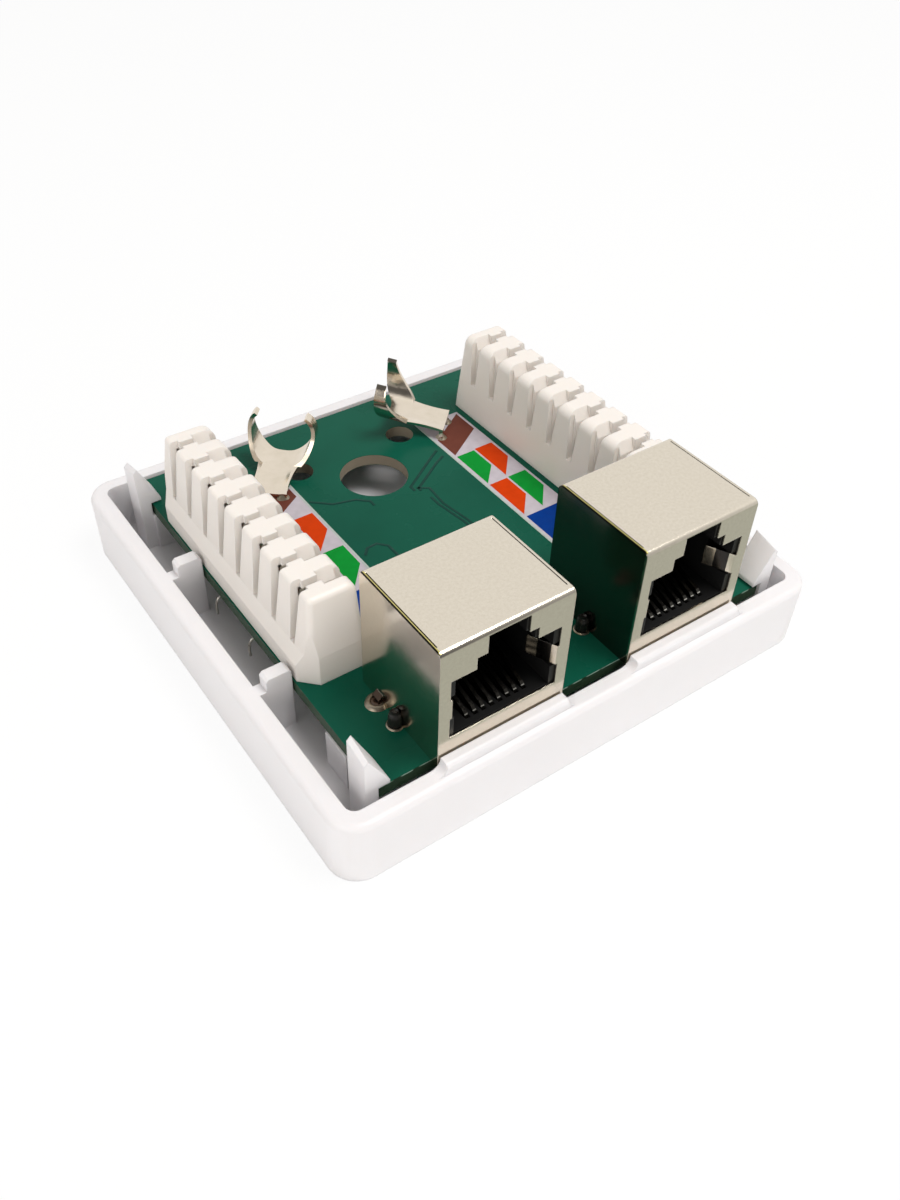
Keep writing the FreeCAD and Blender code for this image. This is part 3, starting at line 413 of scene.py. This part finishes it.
inks = {name: ink_material(f"{name}_ink", colour) for name, colour in INKS.items()}
base = board_high[2]
for side, left_edge, border in (("left", -17.05, -10.4), ("right", 11.15, 11.0)):
    points, faces = plate(GROUND, left_edge, base, base + PRINT_RISE)
    new_piece(f"{side}_print_ground", points, faces, inks["white"], smooth=False)
    points, faces = plate(BORDER, border, base, base + 2 * PRINT_RISE)
    new_piece(f"{side}_print_border", points, faces, inks["grey"], smooth=False)
    for ink in ("brown", "orange", "green", "blue"):
        points, faces = gather([
            plate(outline[::-1], left_edge, base + PRINT_RISE / 2, base + 2 * PRINT_RISE)
            for colour, outline in FIELDS if colour == ink])
        new_piece(f"{side}_{ink}_fields", points, faces, inks[ink], smooth=False)

# ---------------------------------------------------------------- jacks
# Each jack is a black moulding inside a folded skin of tinned steel. The skin is pale and
# faintly speckled, with a dark seam and a brassy line where its side meets its top. Flux
# has browned a leg. Painted shade darkens the springs in the mouth short of their tips, and
# the side of the right skin that faces the other jack. The contact wires in the mouth are
# painted dark as painted shade, with a painted highlight at their front ends.
LEG_JOG = 0.00055
SHEET_EDGE = 0.00013
BRASS_EDGE = 0.00027
TOP_EDGE = 0.00016
shield_low, shield_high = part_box("left_jack_shield")
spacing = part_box("right_jack_shield")[0][0] - shield_low[0]
side_face = shield_low[0] + LEG_JOG
half = (shield_high[0] - shield_low[0]) / 2 - LEG_JOG

tin, tin_shader = new_material("tinned_shield")
x, y, z = place_on(tin)
# The left jack's x serves both: the right jack's is folded back by their spacing.
fold = maths(tin, "WRAP", x, side_face - 0.00001 + spacing, side_face - 0.00001)
at_top = maths(tin, "GREATER_THAN", z, shield_high[2] - TOP_EDGE)
seam = product(tin, maths(tin, "LESS_THAN", fold, side_face + SHEET_EDGE), at_top)
brass = product(tin, maths(tin, "GREATER_THAN", fold, side_face + SHEET_EDGE),
                maths(tin, "LESS_THAN", fold, side_face + BRASS_EDGE), at_top)
# Painted shade: the springs in the mouth, short of their tips, are painted near black.
springs = product(tin, maths(tin, "GREATER_THAN", fold, side_face + 0.0011),
                  maths(tin, "LESS_THAN", fold, side_face + 0.0148),
                  maths(tin, "LESS_THAN", z, shield_high[2] - 0.0022),
                  maths(tin, "GREATER_THAN", y, shield_low[1] + 0.0006),
                  maths(tin, "LESS_THAN", y, shield_low[1] + 0.0020))
# Painted shade: the right skin's side that faces the other jack is painted darker.
between_jacks = product(tin, maths(tin, "LESS_THAN", fold, side_face + 0.00002),
                        maths(tin, "GREATER_THAN", x, 0.0),
                        maths(tin, "GREATER_THAN", y, shield_low[1] + 0.0003))
leg = maths(tin, "GREATER_THAN", fold, side_face + 2 * half + 0.00002)
speckle = noise(tin, 2600.0, 4.0, 0.75)
colour = mix_colours(tin, carry(tin, speckle, 0.0, 1.0, start=0.3, end=0.62),
                     (0.685, 0.615, 0.51), (0.735, 0.67, 0.56))
# Painted shade on the springs and on the side between the jacks; the brass line, leg flux and
# seam are the skin's own colours.
for area, stain_and_shade in ((springs, (0.045, 0.042, 0.040)), (between_jacks, (0.16, 0.15, 0.13)),
                    (brass, (0.62, 0.54, 0.20)), (leg, (0.055, 0.038, 0.028)),
                    (seam, (0.012, 0.010, 0.006))):
    colour = mix_colours(tin, area, colour, stain_and_shade)
bend = add(tin, "ShaderNodeBevel", samples=4, Radius=0.00015)
pits = add(tin, "ShaderNodeBump", Strength=0.03, Distance=0.00002, Height=speckle,
           Normal=bend.outputs["Normal"])
set_up(tin, tin_shader, Base_Color=colour, Metallic=1.0, Normal=pits.outputs["Normal"],
       Roughness=carry(tin, noise(tin, 260.0, 5.0, 0.6), 0.10, 0.20))
give("jack_shield", tin)

black_plastic, black_shader = moulded_material(
    "black_plastic", (0.006, 0.006, 0.006), (0.013, 0.013, 0.013), 0.36, 0.14,
    Grain_depth=0.2, Edge_radius=0.00008)
set_up(black_plastic, black_shader, Specular_IOR_Level=0.22)
give("jack_housing", black_plastic)
give("contact_comb", black_plastic)


def metal_material(name, dark, light, roughness, spread, grain_size, bump, tip=None):
    """Plated metal whose tint and gloss drift with one noise. Where y is under tip, a painted
    highlight makes it bright."""
    material, shader = new_material(name)
    cloud = noise(material, grain_size, 4.0, 0.6)
    colour = mix_colours(material, cloud, dark, light)
    if tip is not None:
        # Painted highlight on the front end, where y is under tip.
        painted_glint = maths(material, "LESS_THAN", place_on(material)["Y"], tip)
        colour = mix_colours(material, painted_glint, colour, (0.62, 0.60, 0.54))
    dents = add(material, "ShaderNodeBump", Strength=bump, Distance=0.00004, Height=cloud)
    set_up(material, shader, Base_Color=colour, Metallic=1.0,
           Roughness=carry(material, cloud, roughness, roughness + spread),
           Normal=dents.outputs["Normal"])
    return material


# The contact wires are painted dark as painted shade in the mouth, with a painted highlight at
# their front ends.
give("jack_contact", metal_material(
    "contact_wire", (0.025, 0.024, 0.021), (0.100, 0.093, 0.080), 0.16, 0.10, 2400.0, 0.3,
    tip=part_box("left_jack_contact_1")[0][1] + 0.0002))

# ---------------------------------------------------------------- terminal blocks
# Slotted towers moulded in white plastic, a little warmer than the tray. A slit
# contact of tinned bronze stands in each slot and shows as a dark metal gleam.
block_plastic, block_shader = moulded_material(
    "terminal_plastic", (0.79, 0.745, 0.70), (0.84, 0.80, 0.76), 0.34, 0.14, Grain_depth=0.12)
set_up(block_plastic, block_shader, Subsurface_Weight=0.15,
       Subsurface_Radius=(0.002, 0.0016, 0.0013), Subsurface_Scale=0.6)
give("terminal_block", block_plastic)
tinned = metal_material("tinned_contact", (0.50, 0.48, 0.42), (0.70, 0.68, 0.62),
                        0.22, 0.16, 700.0, 0.1)
give("terminal_contact", tinned)

# The outer row of contact tails is clinched: each end is bent out past the board's edge
# and down, along a path in mm from the tail's outer side, just under the board.
END_RADIUS = 0.00017
END_GAP = 0.00022
END_PATH = [(-0.2, 0.0), (0.8, 0.02), (1.4, -0.1), (1.7, -0.6), (1.8, -1.4), (1.75, -2.4)]
OUTER_ROW = 0.025
HIDDEN_ROWS = -0.009


def wire(path, y, radius, sides=10):
    """A round wire along a path of x and z at one y, closed at its free end."""
    runs = np.gradient(path, axis=0)
    runs /= np.linalg.norm(runs, axis=1)[:, None]
    normal = np.column_stack([-runs[:, 1], runs[:, 0]])
    angle = np.linspace(0, 2 * np.pi, sides, endpoint=False)
    across = path[:, None, :] + radius * normal[:, None, :] * np.cos(angle)[None, :, None]
    along = np.broadcast_to(y + radius * np.sin(angle), across.shape[:2])
    points = np.stack([across[..., 0], along, across[..., 1]], axis=2).reshape(-1, 3)
    ring = np.arange(len(path) - 1)[:, None] * sides
    first = (ring + np.arange(sides)).ravel()
    after = (ring + (np.arange(sides) + 1) % sides).ravel()
    faces = np.column_stack([first, first + sides, after + sides, after]).tolist()
    faces.append(list(range(len(points) - sides, len(points)))[::-1])
    return points, faces


ends = []
for name in nodes:
    low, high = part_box(name)
    side = 1 if low[0] > 0 else -1
    outer = max(abs(low[0]), abs(high[0]))
    middle = (low[1] + high[1]) / 2
    if "terminal_contact" in name and outer > OUTER_ROW and middle > HIDDEN_ROWS:
        path = np.array(END_PATH) / 1000 + (outer, board_low[2] - END_GAP)
        ends.append(wire(path * (side, 1), middle, END_RADIUS))
points, faces = gather(ends)
new_piece("clinched_ends", points, faces, tinned)

# ---------------------------------------------------------------- shield clamps
# Forked clamps stamped from thin bronze, bent up and bright tinned. They mirror the
# dark room between warm highlights.
bright_tin = metal_material("bright_tin", (0.66, 0.58, 0.46), (0.82, 0.73, 0.62),
                            0.10, 0.12, 500.0, 0.12)
give("shield_clamp", bright_tin)

# ---------------------------------------------------------------- solder
# The legs of the shields and clamps are hand soldered into the board. Each joint is a
# dull fillet with brown flux in it. A bead of burnt flux stands over each front leg.
RING = [(1.35, 0.0), (1.22, 0.16), (1.0, 0.33), (0.78, 0.35), (0.62, 0.2)]
POOL = [(0.80, 0.1), (0.72, 0.24), (0.45, 0.34), (0.2, 0.30)]
COLLAR = [(1.02, 0.0), (0.95, 0.10), (0.84, 0.14)]
PEG = [(0.76, 0.0), (0.80, 0.6), (0.78, 1.3), (0.64, 1.8), (0.32, 2.1)]
FOOT = [(0.80, 0.0), (0.68, 0.16), (0.46, 0.36), (0.36, 0.55), (0.2, 0.62)]
LEG_OUT = 0.0004
REAR_LEG = -0.0193
FRONT_LEG = -0.0229
CLAMP_PLACE = (0.0137, 0.018)
CLAMP_HALF = 0.00195
CLAMP_TURN = 45


def dollop(centre, profile, wobble, seed, stop=None, steps=28):
    """A profile of radius and height, in mm, turned about an upright axis. The radius
    swells with two sines of the angle, and x is held at stop where a wall is in the way."""
    angle = np.linspace(0, 2 * np.pi, steps, endpoint=False)
    radius, height = np.array(profile).T / 1000
    swell = 1 + wobble * np.sin(2 * angle + seed) + 0.6 * wobble * np.sin(3 * angle + 2 * seed)
    x = centre[0] + radius[None, :] * swell[:, None] * np.cos(angle)[:, None]
    y = centre[1] + radius[None, :] * swell[:, None] * np.sin(angle)[:, None]
    z = centre[2] + np.broadcast_to(height, x.shape)
    if stop is not None:
        x = np.minimum(x, stop) if centre[0] < stop else np.maximum(x, stop)
    points = np.stack([x, y, z], axis=2).reshape(-1, 3)
    around, along = np.arange(steps), np.arange(len(radius) - 1)
    first = (around[:, None] * len(radius) + along[None, :]).ravel()
    after = (((around + 1) % steps)[:, None] * len(radius) + along[None, :]).ravel()
    faces = np.column_stack([first, after, after + 1, first + 1]).tolist()
    faces.append((around[::-1] * len(radius) + len(radius) - 1).tolist())
    return points, faces


solder = metal_material("solder", (0.20, 0.17, 0.13), (0.46, 0.40, 0.31),
                        0.30, 0.2, 1200.0, 0.35)
flux = moulded_material("flux", (0.05, 0.028, 0.018), (0.10, 0.055, 0.03), 0.25, 0.2)[0]
burnt_flux = moulded_material("burnt_flux", (0.006, 0.006, 0.006), (0.02, 0.018, 0.016),
                              0.16, 0.2)[0]
joints, pools, pegs = [], [], []
for side in (-1, 1):
    jack = side * abs(side_face + half)
    for end in (-1, 1):
        wall = jack + end * (half + 0.00001)
        rear = (wall + end * LEG_OUT, REAR_LEG, board_high[2])
        front = (wall + end * LEG_OUT, FRONT_LEG, board_high[2])
        if end == side:
            joints.append(dollop(rear, RING, 0.05, 2.4 + side + 2 * end, wall))
        pools.append(dollop(rear, POOL, 0.08, 1.1 + side, wall))
        joints.append(dollop(front, COLLAR, 0.04, 1.0 + end, wall))
        pegs.append(dollop(front, PEG, 0.03, 0.4 + side, wall))
    turn = math.radians(CLAMP_TURN * side)
    for end in (-1, 1):
        foot = (side * CLAMP_PLACE[0] + end * CLAMP_HALF * math.cos(turn),
                CLAMP_PLACE[1] + end * CLAMP_HALF * math.sin(turn), board_high[2])
        joints.append(dollop(foot, FOOT, 0.09, 3.1 * end + side))
for name, parts, material in (("solder_joints", joints, solder), ("flux_pools", pools, flux),
                              ("burnt_flux_pegs", pegs, burnt_flux)):
    points, faces = gather(parts)
    new_piece(name, points, faces, material)
